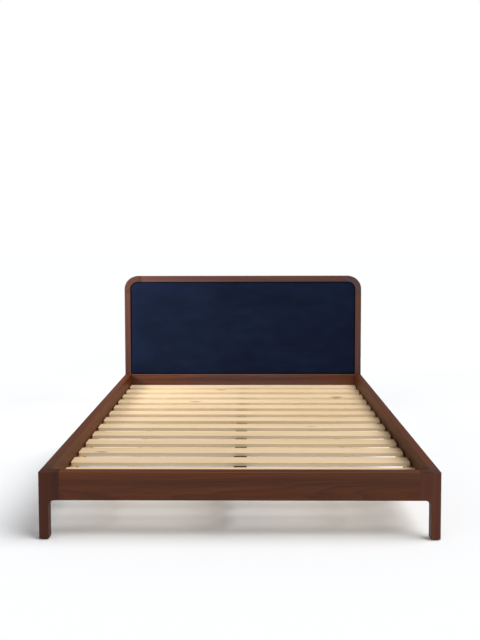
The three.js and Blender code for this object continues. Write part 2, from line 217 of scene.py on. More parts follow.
def fit(piece, slot, *nodes):
    """Puts a finished piece on the body of the CAD nodes that it stands for."""
    body = frame["nodes"][nodes[0]]["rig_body"]
    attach(piece, body)
    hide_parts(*nodes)


class Recipe:
    """A node material written as a list of steps, each wired to the ones before it."""

    def __init__(self, name):
        self.material = bpy.data.materials.new(name)
        self.material.use_nodes = True
        self.tree = self.material.node_tree
        self.shader = self.tree.nodes["Principled BSDF"]

    def add(self, kind, settings=None, **wires):
        node = self.tree.nodes.new("ShaderNode" + kind)
        for key, value in (settings or {}).items():
            setattr(node, key, value)
        for key, value in wires.items():
            self.wire(node.inputs[int(key[1:]) if key[0] == "_" else key.replace("_", " ")], value)
        return node

    def wire(self, socket, value):
        if isinstance(value, bpy.types.NodeSocket):
            self.tree.links.new(value, socket)
        elif isinstance(value, bpy.types.Node):
            self.tree.links.new(value.outputs[0], socket)
        else:
            socket.default_value = value

    def math(self, operation, a, b=0.0, clamp=False):
        return self.add("Math", {"operation": operation, "use_clamp": clamp}, _0=a, _1=b)

    def scaled(self, vector, by):
        return self.add("VectorMath", {"operation": "MULTIPLY"}, _0=vector, _1=by)

    def noise(self, vector, scale=1.0, detail=2.0, rough=0.5, shift=0.0):
        return self.add("TexNoise", {"noise_dimensions": "4D"}, Vector=vector, Scale=scale,
                        Detail=detail, Roughness=rough, W=shift)

    def ramp(self, value, *stops):
        node = self.add("ValToRGB", Fac=value)
        band = node.color_ramp
        while len(band.elements) < len(stops):
            band.elements.new(0.5)
        for element, (place, color) in zip(band.elements, stops):
            element.position = place
            element.color = color if len(color) == 4 else (*color, 1)
        return node

    def mix(self, factor, a, b, blend="MIX"):
        node = self.add("Mix", {"data_type": "RGBA", "blend_type": blend})
        self.wire(node.inputs[0], factor)
        self.wire(node.inputs[6], a)
        self.wire(node.inputs[7], b)
        return node.outputs[2]

    def surface(self, color, roughness, height=None, strength=0.3, depth=0.0005, **constants):
        self.wire(self.shader.inputs["Base Color"], color)
        self.wire(self.shader.inputs["Roughness"], roughness)
        if height is not None:
            relief = self.add("Bump", Strength=strength, Distance=depth, Height=height)
            self.wire(self.shader.inputs["Normal"], relief)
        for key, value in constants.items():
            self.shader.inputs[key.replace("_", " ")].default_value = value
        return self.material


def along_grain(recipe, node, grain, pith, seed):
    """Coordinates with X along the grain, so that the growth rings circle a line beside the piece."""
    low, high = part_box(node)
    turn = Vector(grain).rotation_difference(Vector((1, 0, 0)))
    centre = turn @ ((Vector(low) + Vector(high)) / 2)
    mapping = recipe.add("Mapping", Vector=recipe.add("TexCoord").outputs["Object"])
    mapping.inputs["Rotation"].default_value = turn.to_euler()
    mapping.inputs["Location"].default_value = Vector((seed, pith[0], pith[1])) - centre
    return mapping.outputs[0]


WALNUT_DARK = (0.0260, 0.0088, 0.0046)
WALNUT_MID = (0.0690, 0.0225, 0.0092)
WALNUT_LIGHT = (0.1250, 0.0460, 0.0200)
WALNUT_STOPS = ((0.28, WALNUT_DARK), (0.5, WALNUT_MID), (0.74, WALNUT_LIGHT))
RAIL_TINT = (1.08, 0.86, 0.60)
# The legs' darker tone is partly their upright grain and partly painted light: the left leg is painted in
# shade, the right one painted paler and bluer, as if lit from the right.
LEG_TONE_AND_PAINTED_LIGHT = {"left": (0.56, 0.42, 0.42), "right": (0.84, 0.76, 1.15)}
# The headboard's tints are painted light: a bluish painted bounce light over the frame and back panel,
# stronger and greyer on the right stile than on the left.
HEAD_PAINTED_LIGHT = {"left": (0.95, 0.95, 1.35), "right": (0.98, 1.30, 2.40), "middle": (1.20, 1.32, 1.85)}
RING_WIDTH = 0.0052


# Scales a colour by a wood's tone; on the legs and the headboard this also carries painted light and painted
# shade.
def toned_and_painted(color, tone_and_painted_light):
    return tuple(part * share for part, share in zip(color, tone_and_painted_light)) + (1,)


# Every walnut colour, the worn edges included, is scaled by the tone, which on the legs and headboard holds
# painted light.
def walnut(name, node, grain, pith, tone_and_painted_light, seed=0.0):
    """Oiled walnut: growth rings, long brown streaks, and the short dark pores that walnut is known by."""
    w = Recipe(name)
    place = along_grain(w, node, grain, pith, seed)
    sway = w.noise(w.scaled(place, (0.55, 2.2, 2.2)), scale=1.6, detail=3, shift=seed)
    sway = w.add("VectorMath", {"operation": "SUBTRACT"}, _0=sway.outputs["Color"], _1=(0.5, 0.5, 0.5))
    bent = w.add("VectorMath", _0=place, _1=w.scaled(sway, (0.0, 0.055, 0.055)))
    radius = w.add("VectorMath", {"operation": "LENGTH"}, _0=w.scaled(bent, (0, 1, 1))).outputs["Value"]
    jitter = w.noise(w.scaled(place, (4, 60, 60)), detail=3, shift=seed + 3)
    count = w.math("ADD", w.math("DIVIDE", radius, RING_WIDTH), w.math("MULTIPLY", jitter, 0.9))
    ring = w.math("FRACT", count)
    year = w.add("TexWhiteNoise", {"noise_dimensions": "1D"}, W=w.math("FLOOR", count)).outputs["Value"]
    ring_tone = w.ramp(ring, (0.0, (0.30,) * 3), (0.12, (0.62,) * 3), (0.7, (0.5,) * 3), (1.0, (0.2,) * 3))
    streak = w.noise(w.scaled(place, (0.7, 26, 26)), detail=5, rough=0.6, shift=seed + 7)
    band = w.noise(w.scaled(bent, (0.7, 34, 34)), detail=2, shift=seed + 29)
    fibre = w.noise(w.scaled(place, (14, 700, 700)), detail=3, shift=seed + 11)
    shade = w.math("ADD", w.math("MULTIPLY", ring_tone, 0.22), w.math("MULTIPLY", year, 0.06))
    shade = w.math("ADD", shade, w.math("MULTIPLY", streak, 0.46))
    shade = w.math("ADD", shade, w.math("MULTIPLY", band, 0.26))
    shade = w.math("ADD", shade, w.math("MULTIPLY", fibre, 0.14))
    color = w.ramp(shade, *((at, toned_and_painted(brown, tone_and_painted_light)) for at, brown in WALNUT_STOPS))
    pore = w.noise(w.scaled(place, (150, 2300, 2300)), detail=1, shift=seed + 17)
    pore = w.ramp(pore, (0.60, (0, 0, 0)), (0.68, (1, 1, 1)))
    color = w.mix(w.math("MULTIPLY", pore, 0.5), color.outputs[0], toned_and_painted(WALNUT_DARK, tone_and_painted_light))
    warm = w.noise(w.scaled(place, (1.1, 5, 5)), detail=2, shift=seed + 23)
    warm = w.ramp(warm, (0.35, (0.90, 1.03, 1.35)), (0.65, (1.12, 0.97, 0.68)))
    color = w.mix(1.0, color, warm.outputs[0], "MULTIPLY")
    worn = w.math("MULTIPLY", w.add("Attribute", {"attribute_name": "wear"}).outputs["Fac"], 0.3)
    color = w.mix(worn, color, toned_and_painted(WALNUT_LIGHT, [1.3 * part for part in tone_and_painted_light]))
    rough = w.math("ADD", w.math("MULTIPLY", streak, 0.22), 0.36)
    height = w.math("SUBTRACT", w.math("MULTIPLY", fibre, 0.5), w.math("MULTIPLY", pore, 0.8))
    return w.surface(color, rough, height, strength=0.35, depth=0.0004,
                     Specular_IOR_Level=0.16, Coat_Weight=0.02, Coat_Roughness=0.3)


ARRIS = 0.0022
for side, sign in (("left", -1), ("right", 1)):
    node = f"foot_leg_{side}"
    # Each leg's colours are scaled by its tone together with its painted light or painted shade.
    wood = walnut(f"walnut leg {side}", node, (0, 0, 1), (0.07 * sign, -0.11), LEG_TONE_AND_PAINTED_LIGHT[side], 1.7 + sign)
    fit(eased(node, f"{node}_timber", wood, ARRIS), "walnut", node)

# ---- Foot rail ----
# One walnut board on edge between the foot legs, tenoned into both. Its grain runs across the bed.

wood = walnut("walnut foot rail", "foot_rail", (1, 0, 0), (0.16, 0.05), RAIL_TINT, 4.2)
rail = eased("foot_rail", "foot_rail_timber", wood, ARRIS)
fit(rail, "walnut", "foot_rail")

# ---- Side rails ----
# Two long walnut boards on edge. Each hooks onto a foot leg and onto the headboard.

for side, sign in (("left", -1), ("right", 1)):
    node = f"side_rail_{side}"
    wood = walnut(f"walnut side rail {side}", node, (0, 1, 0), (0.10 * sign, -0.06), RAIL_TINT, 8.1 * sign)
    fit(eased(node, f"{node}_timber", wood, ARRIS), "walnut", node)

# ---- Headboard frame ----
# Two stiles, two rounded corner blocks, a top rail and a bottom rail, in walnut, joined by loose-fitting
# tenons. The frame is softly rounded over on its outside.

HEAD_ARRIS = 0.0032
for side, sign in (("left", -1), ("right", 1)):
    node = f"head_stile_{side}"
    # Each stile and corner block takes its own side's painted bounce light.
    tone_and_painted_light = HEAD_PAINTED_LIGHT[side]
    wood = walnut(f"walnut stile {side}", node, (0, 0, 1), (0.05 * sign, -0.09), tone_and_painted_light, 12.3 * sign)
    fit(eased(node, f"{node}_timber", wood, HEAD_ARRIS), "walnut", node)
    node = f"head_corner_{side}"
    wood = walnut(f"walnut corner {side}", node, (1, 0, -sign), (0.06, 0.07 * sign), tone_and_painted_light, 15.9 * sign)
    fit(eased(node, f"{node}_timber", wood, HEAD_ARRIS), "walnut", node)

# The top and bottom rails take the middle painted bounce light.
for node, pith, seed in (("head_top_rail", (0.08, 0.07), 21.4), ("head_bottom_rail", (0.14, -0.05), 25.2)):
    wood = walnut(f"walnut {node}", node, (1, 0, 0), pith, HEAD_PAINTED_LIGHT["middle"], seed)
    fit(eased(node, f"{node}_timber", wood, HEAD_ARRIS), "walnut", node)

# ---- Headboard back panel ----
# A sheet of walnut-veneered board, let into a step round the back of the frame and held by a row of screws
# near its edge. The veneer's grain runs along the bed's width.

# The veneer takes the same middle painted bounce light.
wood = walnut("walnut veneer", "headboard_back_panel", (1, 0, 0), (0.42, 0.30), HEAD_PAINTED_LIGHT["middle"], 31.0)
fit(eased("headboard_back_panel", "headboard_back_veneered", wood, 0.0008), "veneered_panel",
    "headboard_back_panel")

# ---- Headboard board ----
# The birch plywood board that the foam is glued to. It is covered on every side, and keeps its CAD shape.


def bare_timber(name, node, grain, pith, dark, light, ring_width=0.004, knots=0.0, seed=0.0):
    """Pale unfinished wood with soft growth rings, fine fibres and, where asked for, a few small knots."""
    b = Recipe(name)
    place = along_grain(b, node, grain, pith, seed)
    sway = b.noise(b.scaled(place, (0.8, 3, 3)), scale=2, detail=2, shift=seed)
    sway = b.add("VectorMath", {"operation": "SUBTRACT"}, _0=sway.outputs["Color"], _1=(0.5, 0.5, 0.5))
    bent = b.add("VectorMath", _0=place, _1=b.scaled(sway, (0.0, 0.05, 0.05)))
    radius = b.add("VectorMath", {"operation": "LENGTH"}, _0=b.scaled(bent, (0, 1, 1))).outputs["Value"]
    ring = b.math("FRACT", b.math("DIVIDE", radius, ring_width))
    ring = b.ramp(ring, (0.0, (0.25,) * 3), (0.15, (0.8,) * 3), (0.75, (0.55,) * 3), (1.0, (0.2,) * 3))
    cloudy = b.noise(b.scaled(place, (1.2, 14, 14)), detail=4, shift=seed + 5)
    fibre = b.noise(b.scaled(place, (18, 900, 900)), detail=2, shift=seed + 9)
    shade = b.math("ADD", b.math("MULTIPLY", ring, 0.46), b.math("MULTIPLY", cloudy, 0.48))
    shade = b.math("ADD", shade, b.math("MULTIPLY", fibre, 0.2))
    color = b.ramp(shade, (0.25, dark), (0.75, light)).outputs[0]
    if knots:
        spots = b.add("TexVoronoi", {"feature": "F1"}, Vector=b.scaled(place, (2.3, 6.5, 6.5)), Scale=1.0)
        knot = b.ramp(spots.outputs["Distance"], (0.0, (1, 1, 1)), (0.055, (0.8,) * 3), (0.11, (0, 0, 0)))
        color = b.mix(b.math("MULTIPLY", knot, knots), color, tuple(0.28 * c for c in dark) + (1,))
    worn = b.math("MULTIPLY", b.add("Attribute", {"attribute_name": "wear"}).outputs["Fac"], 0.25)
    color = b.mix(worn, color, tuple(min(1.0, 1.15 * c) for c in light) + (1,))
    return b.surface(color, b.math("ADD", b.math("MULTIPLY", fibre, 0.2), 0.6), fibre, strength=0.3,
                     depth=0.0005, Specular_IOR_Level=0.3)


BIRCH_DARK = (0.42, 0.27, 0.15)
BIRCH_LIGHT = (0.66, 0.48, 0.30)
frame["nodes"]["headboard_board"].material_slots[0].material = bare_timber(
    "birch plywood", "headboard_board", (1, 0, 0), (0.3, 0.2), BIRCH_DARK, BIRCH_LIGHT)

# ---- Headboard pad ----
# Navy velvet drawn over a sheet of foam, round the board's edge and stapled behind it. The fabric is puffed
# out by the foam behind it in a cloth simulation, held at its edge, and then closed at the back.

PAD_CELL = 0.010
PAD_CORNER = 0.0495  # radius of the two top corners
PAD_SET_BACK = 0.0015  # of the flat front, before it is puffed out
PAD_SOFT_EDGE = 0.009
PAD_FRONT_INSET = PAD_SOFT_EDGE * 0.9
FOAM_HOLD = 0.06
FOAM_PRESSURE = 0.08
PAD_RELAX_FRAMES = 20
PAD_RISE_MAX = 0.0045  # a limit the fabric doesn't reach at this pressure
FABRIC = 0.0013
FOAM_GAP = 0.0002
cover_low, cover_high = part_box("headboard_cover")
foam_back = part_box("headboard_foam")[1][1]


def pad_point(u, v, inset, y):
    """A point of the pad's outline grid: u and v run 0 to 1, and the two top corners are rounded."""
    half = (cover_high[0] - cover_low[0]) / 2 - inset
    low = cover_low[2] + inset
    high = cover_high[2] - inset
    x = (2 * u - 1) * half
    z = low + v * (high - low)
    radius = PAD_CORNER - inset
    a = max(0.0, (abs(x) - (half - radius)) / radius)
    b = max(0.0, (z - (high - radius)) / radius)
    if a > 0 and b > 0:
        x = math.copysign(half - radius + radius * a * math.sqrt(1 - b * b / 2), x)
        z = high - radius + radius * b * math.sqrt(1 - a * a / 2)
    return Vector((x, y, z))


def pad_cloth():
    """The velvet before it is puffed out: a grid in front, with sides that turn back to the foam's back."""
    across = round((cover_high[0] - cover_low[0]) / PAD_CELL)
    up = round((cover_high[2] - cover_low[2]) / PAD_CELL)
    front_y = cover_low[1] + PAD_SET_BACK
    shape = bmesh.new()
    grid = []
    for j in range(up + 1):
        points = [pad_point(i / across, j / up, PAD_FRONT_INSET, front_y) for i in range(across + 1)]
        grid.append([shape.verts.new(point) for point in points])
    for j in range(up):
        for i in range(across):
            shape.faces.new((grid[j][i], grid[j][i + 1], grid[j + 1][i + 1], grid[j + 1][i]))
    rim = [(i, 0) for i in range(across)] + [(across, j) for j in range(up)]
    rim += [(i, up) for i in range(across, 0, -1)] + [(0, j) for j in range(up, 0, -1)]
    loop = [grid[j][i] for i, j in rim]
    rings = []
    for degrees in (30, 60, 90):
        a = math.radians(degrees)
        rings.append((PAD_SOFT_EDGE * (1 - math.sin(a)), front_y + PAD_SOFT_EDGE * (1 - math.cos(a))))
    rings.append((0.0, foam_back))
    for inset, y in rings:
        ring = [shape.verts.new(pad_point(i / across, j / up, inset, y)) for i, j in rim]
        for k in range(len(rim)):
            n = (k + 1) % len(rim)
            shape.faces.new((loop[n], loop[k], ring[k], ring[n]))
        loop = ring
    mesh = bpy.data.meshes.new("headboard_pad")
    shape.verts.index_update()
    held = [vert.index for vert in loop]
    shape.to_mesh(mesh)
    shape.free()
    return mesh, held


pad_mesh, pad_held = pad_cloth()
pad = bpy.data.objects.new("headboard_pad", pad_mesh)
SCENE.collection.objects.link(pad)


def puff_out(piece, held):
    """Cloth simulation: the fabric is held at its edge and, weakly, at every point by the foam it lies on."""
    hold = piece.vertex_groups.new(name="hold")
    hold.add(range(len(piece.data.vertices)), FOAM_HOLD, "REPLACE")
    hold.add(held, 1.0, "REPLACE")
    rest = [vert.co.copy() for vert in piece.data.vertices]
    cloth = piece.modifiers.new("cloth", "CLOTH")
    cloth.settings.quality = 6
    cloth.settings.mass = 0.25
    cloth.settings.tension_stiffness = 12
    cloth.settings.compression_stiffness = 8
    cloth.settings.bending_stiffness = 1.5
    cloth.settings.effector_weights.gravity = 0
    cloth.settings.use_pressure = True
    cloth.settings.uniform_pressure_force = FOAM_PRESSURE
    cloth.settings.vertex_group_mass = "hold"
    cloth.settings.pin_stiffness = 0.6
    cloth.collision_settings.use_collision = False
    cloth.point_cache.frame_start = 1
    cloth.point_cache.frame_end = PAD_RELAX_FRAMES
    for step in range(1, PAD_RELAX_FRAMES + 1):
        SCENE.frame_set(step)
    settled = piece.evaluated_get(bpy.context.evaluated_depsgraph_get())
    moved = [vert.co.copy() for vert in settled.data.vertices]
    piece.modifiers.remove(cloth)
    for vert, before, after in zip(piece.data.vertices, rest, moved):
        shift = after - before
        if shift.length > PAD_RISE_MAX:
            shift *= PAD_RISE_MAX / shift.length
        vert.co = before + shift
    piece.vertex_groups.clear()
    SCENE.frame_set(1)


puff_out(pad, pad_held)


def subdivide(piece):
    """One round of smooth subdivision, kept as a plain mesh."""
    finer = piece.modifiers.new("finer", "SUBSURF")
    finer.levels = 1
    finer.render_levels = 1
    finer.boundary_smooth = "PRESERVE_CORNERS"
    smooth = piece.evaluated_get(bpy.context.evaluated_depsgraph_get())
    piece.data = bpy.data.meshes.new_from_object(smooth)
    piece.modifiers.remove(finer)


def inward(point):
    """The direction from the pad's edge towards its middle: square to a straight side, radial at a corner."""
    reach = cover_high[0] - PAD_CORNER
    core_x = min(max(point.x, -reach), reach)
    core_z = min(max(point.z, cover_low[2] + PAD_CORNER), cover_high[2] - PAD_CORNER)
    return Vector((core_x - point.x, 0, core_z - point.z)).normalized()


def close_pad(piece):
    """Carries the fabric round the board's edge to its back, turns it in and closes the pad over the foam."""
    shape = bmesh.new()
    shape.from_mesh(piece.data)
    rim = [edge for edge in shape.edges if edge.is_boundary]
    for turn_in, y in ((0, cover_high[1]), (FABRIC, cover_high[1]), (0, foam_back + FOAM_GAP)):
        grown = bmesh.ops.extrude_edge_only(shape, edges=rim)["geom"]
        rim = [part for part in grown if isinstance(part, bmesh.types.BMEdge) and part.is_boundary]
        for vert in {vert for edge in rim for vert in edge.verts}:
            vert.co += inward(vert.co) * turn_in
            vert.co.y = y
    bmesh.ops.contextual_create(shape, geom=rim)
    bmesh.ops.recalc_face_normals(shape, faces=shape.faces)
    shape.to_mesh(piece.data)
    shape.free()


subdivide(pad)
close_pad(pad)
pad.data.polygons.foreach_set("use_smooth", [True] * len(pad.data.polygons))

VELVET_DEEP = (0.0025, 0.0052, 0.0150)
VELVET_MID = (0.0040, 0.0080, 0.0232)
VELVET_BRUSHED = (0.0062, 0.0122, 0.0340)


def velvet(name):
    """Short-pile navy velvet: brushed patches, a faint cross weave under the pile, and a bluish sheen."""
    v = Recipe(name)
    place = v.add("TexCoord").outputs["Object"]
    brushed = v.noise(v.scaled(place, (2.6, 3.0, 4.2)), scale=1.0, detail=4, rough=0.62)
    stroke = v.noise(v.scaled(place, (7, 18, 22)), scale=1.0, detail=3, shift=4)
    pile = v.noise(v.scaled(place, (1100, 1100, 1500)), detail=3, rough=0.7, shift=9)
    across = {"wave_type": "BANDS", "bands_direction": "X"}
    upward = {"wave_type": "BANDS", "bands_direction": "Z"}
    warp = v.add("TexWave", across, Vector=place, Scale=210, Distortion=0.6)
    weft = v.add("TexWave", upward, Vector=place, Scale=190, Distortion=0.6)
    weave = v.math("MULTIPLY", warp.outputs["Fac"], weft.outputs["Fac"])
    shade = v.math("ADD", v.math("MULTIPLY", brushed, 0.45), v.math("MULTIPLY", stroke, 0.25))
    shade = v.math("ADD", shade, v.math("MULTIPLY", pile, 0.34))
    color = v.ramp(shade, (0.38, VELVET_DEEP), (0.52, VELVET_MID), (0.66, VELVET_BRUSHED))
    height = v.math("ADD", v.math("MULTIPLY", pile, 0.7), v.math("MULTIPLY", weave, 0.35))
    height = v.math("ADD", height, v.math("MULTIPLY", stroke, 0.9))
    rough = v.math("ADD", v.math("MULTIPLY", brushed, 0.2), 0.72)
    return v.surface(color.outputs[0], rough, height, strength=0.5, depth=0.0007, Specular_IOR_Level=0.06,
                     Sheen_Weight=0.08, Sheen_Roughness=0.35, Sheen_Tint=(0.30, 0.42, 0.80, 1))


pad.data.materials.append(velvet("navy velvet"))
fit(pad, "velvet", "headboard_cover", "headboard_foam")

# ---- Ledgers ----
# Planed pine battens screwed to the inside of the side rails, for the slats to rest on.

PINE_DARK = (0.50, 0.33, 0.17)
PINE_LIGHT = (0.78, 0.60, 0.38)
for side, seed in (("left", 41.0), ("right", 44.5)):
    node = f"ledger_{side}"
    wood = bare_timber(f"pine ledger {side}", node, (0, 1, 0), (0.03, 0.06), PINE_DARK, PINE_LIGHT, 0.003,
                       knots=0.6, seed=seed)
    fit(eased(node, f"{node}_batten", wood, 0.0012, 2), "pine", node)

# ---- Slats ----
# Fourteen planed pine slats with rounded corners, lying loose on the ledgers and the beam.

SLAT_ARRIS = 0.0022


def slat_arris(edge, tree):
    return len(edge.link_faces) == 2 and edge.calc_face_angle() > math.radians(35)


slat_names = sorted(name for name in frame["nodes"] if name.startswith("slat_") and name[5:].isdigit())
for number, node in enumerate(slat_names):
    pith = (0.05 + 0.011 * (number * 5 % 7), 0.04 + 0.009 * (number * 3 % 5))
    wood = bare_timber(f"pine {node}", node, (1, 0, 0), pith, PINE_DARK, PINE_LIGHT, 0.0035, knots=0.75,
                       seed=50 + 3.7 * number)
    fit(eased(node, f"{node}_pine", wood, SLAT_ARRIS, 2, slat_arris), "pine", node)

# ---- Slat straps ----
# Two lengths of woven polyester tape under the slats, stapled to each one so that they keep their spacing
# and roll up together.

STRAP_THICK = 0.0012
STRAP_SAG = 0.002
STRAP_STEP = 0.01


def tape_weave(name):
    """Ribbed cream tape, woven with a coarse weft across it, in the tape's own U (across) and V (along)."""
    t = Recipe(name)
    place = t.add("UVMap", {"uv_map": "tape"}).outputs["UV"]
    warp = t.add("TexWave", {"bands_direction": "X"}, Vector=place, Scale=260, Distortion=0.4)
    weft = t.add("TexWave", {"bands_direction": "Y"}, Vector=place, Scale=160, Distortion=0.4)
    weave = t.math("MULTIPLY", warp.outputs["Fac"], weft.outputs["Fac"])
    dust = t.noise(t.add("TexCoord").outputs["Object"], scale=9, detail=4)
    shade = t.math("ADD", t.math("MULTIPLY", weave, 0.5), t.math("MULTIPLY", dust, 0.5))
    color = t.ramp(shade, (0.15, (0.48, 0.46, 0.41)), (0.7, (0.80, 0.78, 0.73)))
    return t.surface(color.outputs[0], 0.85, weave, strength=0.6, depth=0.0005, Specular_IOR_Level=0.2)


tape_finish = tape_weave("woven tape")


def strap(side):
    """A thin closed tape, flat under each slat and hanging a little between two slats."""
    low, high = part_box(f"slat_strap_{side}")
    gaps = [(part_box(a)[1][1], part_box(b)[0][1]) for a, b in zip(slat_names, slat_names[1:])]
    steps = round((high[1] - low[1]) / STRAP_STEP)
    shape = bmesh.new()
    uv = shape.loops.layers.uv.new("tape")
    rows = []
    for k in range(steps + 1):
        y = low[1] + (high[1] - low[1]) * k / steps
        hang = 0.0
        for near, far in gaps:
            if near < y < far:
                hang = STRAP_SAG * math.sin(math.pi * (y - near) / (far - near)) ** 2
        top = high[2] - hang
        corners = [(low[0], top), (high[0], top), (high[0], top - STRAP_THICK), (low[0], top - STRAP_THICK)]
        rows.append(([shape.verts.new((x, y, z)) for x, z in corners], y))
    across = (0.0, high[0] - low[0], high[0] - low[0], 0.0)
    for (near, y0), (far, y1) in zip(rows, rows[1:]):
        for k in range(4):
            n = (k + 1) % 4
            face = shape.faces.new((near[k], near[n], far[n], far[k]))
            places = ((across[k], y0), (across[n], y0), (across[n], y1), (across[k], y1))
            for loop, place in zip(face.loops, places):
                loop[uv].uv = place
    shape.faces.new(rows[0][0][::-1])
    shape.faces.new(rows[-1][0])
    bmesh.ops.recalc_face_normals(shape, faces=shape.faces)
    mesh = bpy.data.meshes.new(f"slat_strap_{side}_tape")
    shape.to_mesh(mesh)
    shape.free()
    mesh.materials.append(tape_finish)
    piece = bpy.data.objects.new(mesh.name, mesh)
    SCENE.collection.objects.link(piece)
    fit(piece, "webbing", f"slat_strap_{side}")


for side in ("left", "right"):
    strap(side)

# ---- Steel fittings ----
# Zinc-plated pressings: the hooks on the side rails, the slotted plates they drop into, and the U-shaped
# seats that carry the ends of the beam.


def plated(name, scale=1.0, seed=0.0):
    """Bright zinc plating, drawn along the sheet, with faint cloudy stains."""
    z = Recipe(name)
    place = z.add("TexCoord").outputs["Object"]
    cloudy = z.noise(place, scale=38 * scale, detail=4, shift=seed)
    drawn = z.noise(z.scaled(place, (2600, 2600, 90)), detail=2, shift=seed + 2)
    color = z.ramp(cloudy, (0.35, (0.42, 0.43, 0.44)), (0.65, (0.62, 0.63, 0.64)))
    rough = z.math("ADD", z.math("MULTIPLY", cloudy, 0.25), z.math("MULTIPLY", drawn, 0.18))
    rough = z.math("ADD", rough, 0.12)
    return z.surface(color.outputs[0], rough, drawn, strength=0.15, depth=0.0002, Metallic=0.95)


zinc = plated("zinc plate")
for node in sorted(frame["nodes"]):
    if node.startswith(("rail_hook_", "post_plate_")):
        fit(eased(node, f"{node}_pressing", zinc, 0.0004, 2, slat_arris), "zinc_steel", node)
for end in ("foot", "head"):
    node = f"beam_bracket_{end}"
    fit(eased(node, f"{node}_pressing", zinc, 0.0005, 2, slat_arris), "zinc_steel", node)

# ---- Centre beam and its legs ----
# A black powder-coated steel tube down the middle of the bed, on three tubular legs welded to top plates.


def powder_coat(name):
    """Black powder coat with its fine orange-peel skin, rubbed a little paler along the edges."""
    c = Recipe(name)
    place = c.add("TexCoord").outputs["Object"]
    peel = c.noise(place, scale=520, detail=2)
    patch = c.noise(place, scale=14, detail=3, shift=3)
    color = c.ramp(patch, (0.3, (0.014, 0.014, 0.015)), (0.7, (0.026, 0.026, 0.028)))
    rubbed = c.math("MULTIPLY", c.add("Attribute", {"attribute_name": "wear"}).outputs["Fac"], 0.35)
    color = c.mix(rubbed, color.outputs[0], (0.09, 0.09, 0.095, 1))
    return c.surface(color, c.math("ADD", c.math("MULTIPLY", patch, 0.2), 0.38), peel, strength=0.35,
                     depth=0.0003, Specular_IOR_Level=0.5)


coat = powder_coat("black powder coat")
fit(eased("centre_beam", "centre_beam_tube", coat, 0.0015, 3), "black_steel", "centre_beam")
for where in ("foot", "middle", "head"):
    node = f"centre_leg_{where}"
    fit(eased(node, f"{node}_tube", coat, 0.0006, 2), "black_steel", node)

# ---- Levelling feet ----
# Under each centre leg, a threaded stem with a hexagon to turn it by, standing in a moulded nylon pad.
# Turning the stem lowers the pad until it meets the floor.


def moulded(name, dark, light):
    """Moulded nylon: an even satin skin with fine texture and scuffs."""
    m = Recipe(name)
    place = m.add("TexCoord").outputs["Object"]
    skin = m.noise(place, scale=900, detail=2)
    scuff = m.noise(place, scale=60, detail=5, rough=0.7, shift=6)
    color = m.ramp(scuff, (0.35, dark), (0.7, light))
    rough = m.math("ADD", m.math("MULTIPLY", scuff, 0.3), 0.35)
    return m.surface(color.outputs[0], rough, skin, strength=0.25, depth=0.0003, Specular_IOR_Level=0.4)


nylon = moulded("black nylon", (0.012, 0.012, 0.013), (0.030, 0.030, 0.031))
THREAD_PITCH = 0.00125
THREAD_DEPTH = 0.0007
STEM_RADIUS = 0.0039
THREAD_START = 0.0105  # above the stem's lower end, as HEX_START is
HEX_START = 0.005
HEX_HEIGHT = 0.005
HEX_RADIUS = 0.0075
THREAD_SIDES = 20


def threaded_stem(where):
    """An M8 stem: a right-hand thread wound round the rod above the hexagon, and a plain foot below it."""
    node = f"levelling_stem_{where}"
    low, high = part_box(node)
    x = (low[0] + high[0]) / 2
    y = (low[1] + high[1]) / 2
    thread_from = low[2] + THREAD_START
    turns = (high[2] - 0.001 - thread_from) / THREAD_PITCH
    shape = bmesh.new()
    rows = []
    profile = ((0.0, 1.0), (0.18, 0.0), (0.5, 0.0), (0.68, 1.0))
    count = int(turns * THREAD_SIDES)
    for k in range(count + 1):
        angle = 2 * math.pi * k / THREAD_SIDES
        z = thread_from + THREAD_PITCH * k / THREAD_SIDES
        row = []
        for rise, cut in profile:
            r = STEM_RADIUS - THREAD_DEPTH * cut
            at = (x + r * math.cos(angle), y + r * math.sin(angle), z + rise * THREAD_PITCH)
            row.append(shape.verts.new(at))
        rows.append(row)
    for a, b in zip(rows, rows[1:]):
        for k in range(3):
            shape.faces.new((a[k], b[k], b[k + 1], a[k + 1]))
    for k in range(len(rows) - THREAD_SIDES):
        if k + 1 + THREAD_SIDES < len(rows):
            a, b = rows[k], rows[k + 1]
            c, d = rows[k + THREAD_SIDES], rows[k + 1 + THREAD_SIDES]
            shape.faces.new((a[3], b[3], d[0], c[0]))
    bmesh.ops.holes_fill(shape, edges=shape.edges, sides=0)

    def drum(sides, r, z0, z1, turn=0.0):
        angles = [turn + 2 * math.pi * s / sides for s in range(sides)]
        circle = [(x + r * math.cos(a), y + r * math.sin(a)) for a in angles]
        rings = [[shape.verts.new((*point, z)) for point in circle] for z in (z0, z1)]
        for s in range(sides):
            n = (s + 1) % sides
            shape.faces.new((rings[0][s], rings[0][n], rings[1][n], rings[1][s]))
        shape.faces.new(rings[0][::-1])
        shape.faces.new(rings[1])

    hexagon_low = low[2] + HEX_START
    drum(24, STEM_RADIUS, low[2], hexagon_low + 0.001)
    drum(6, HEX_RADIUS, hexagon_low, hexagon_low + HEX_HEIGHT, math.pi / 2)
    bmesh.ops.recalc_face_normals(shape, faces=shape.faces)
    mesh = bpy.data.meshes.new(f"{node}_threaded")
    shape.to_mesh(mesh)
    shape.free()
    mesh.materials.append(zinc)
    piece = bpy.data.objects.new(mesh.name, mesh)
    SCENE.collection.objects.link(piece)
    fit(piece, "zinc_steel", node)


for where in ("foot", "middle", "head"):
    threaded_stem(where)
    node = f"levelling_pad_{where}"
    fit(eased(node, f"{node}_nylon", nylon, 0.0004, 2, slat_arris), "nylon", node)

# ---- Glides ----
# Nylon glides with a push-in pin, tapped into the bottom of each wooden leg.

for end in ("foot", "head"):
    for side in ("left", "right"):
        node = f"glide_{end}_{side}"
        fit(eased(node, f"{node}_nylon", nylon, 0.0004, 2, slat_arris), "nylon", node)

# ---- Screws ----
# Zinc-plated steel. Countersunk screws hold the ledgers to the side rails and the back panel in its step, and
# pan heads hold the beam brackets and the plates of the centre legs. All have a cross recess.


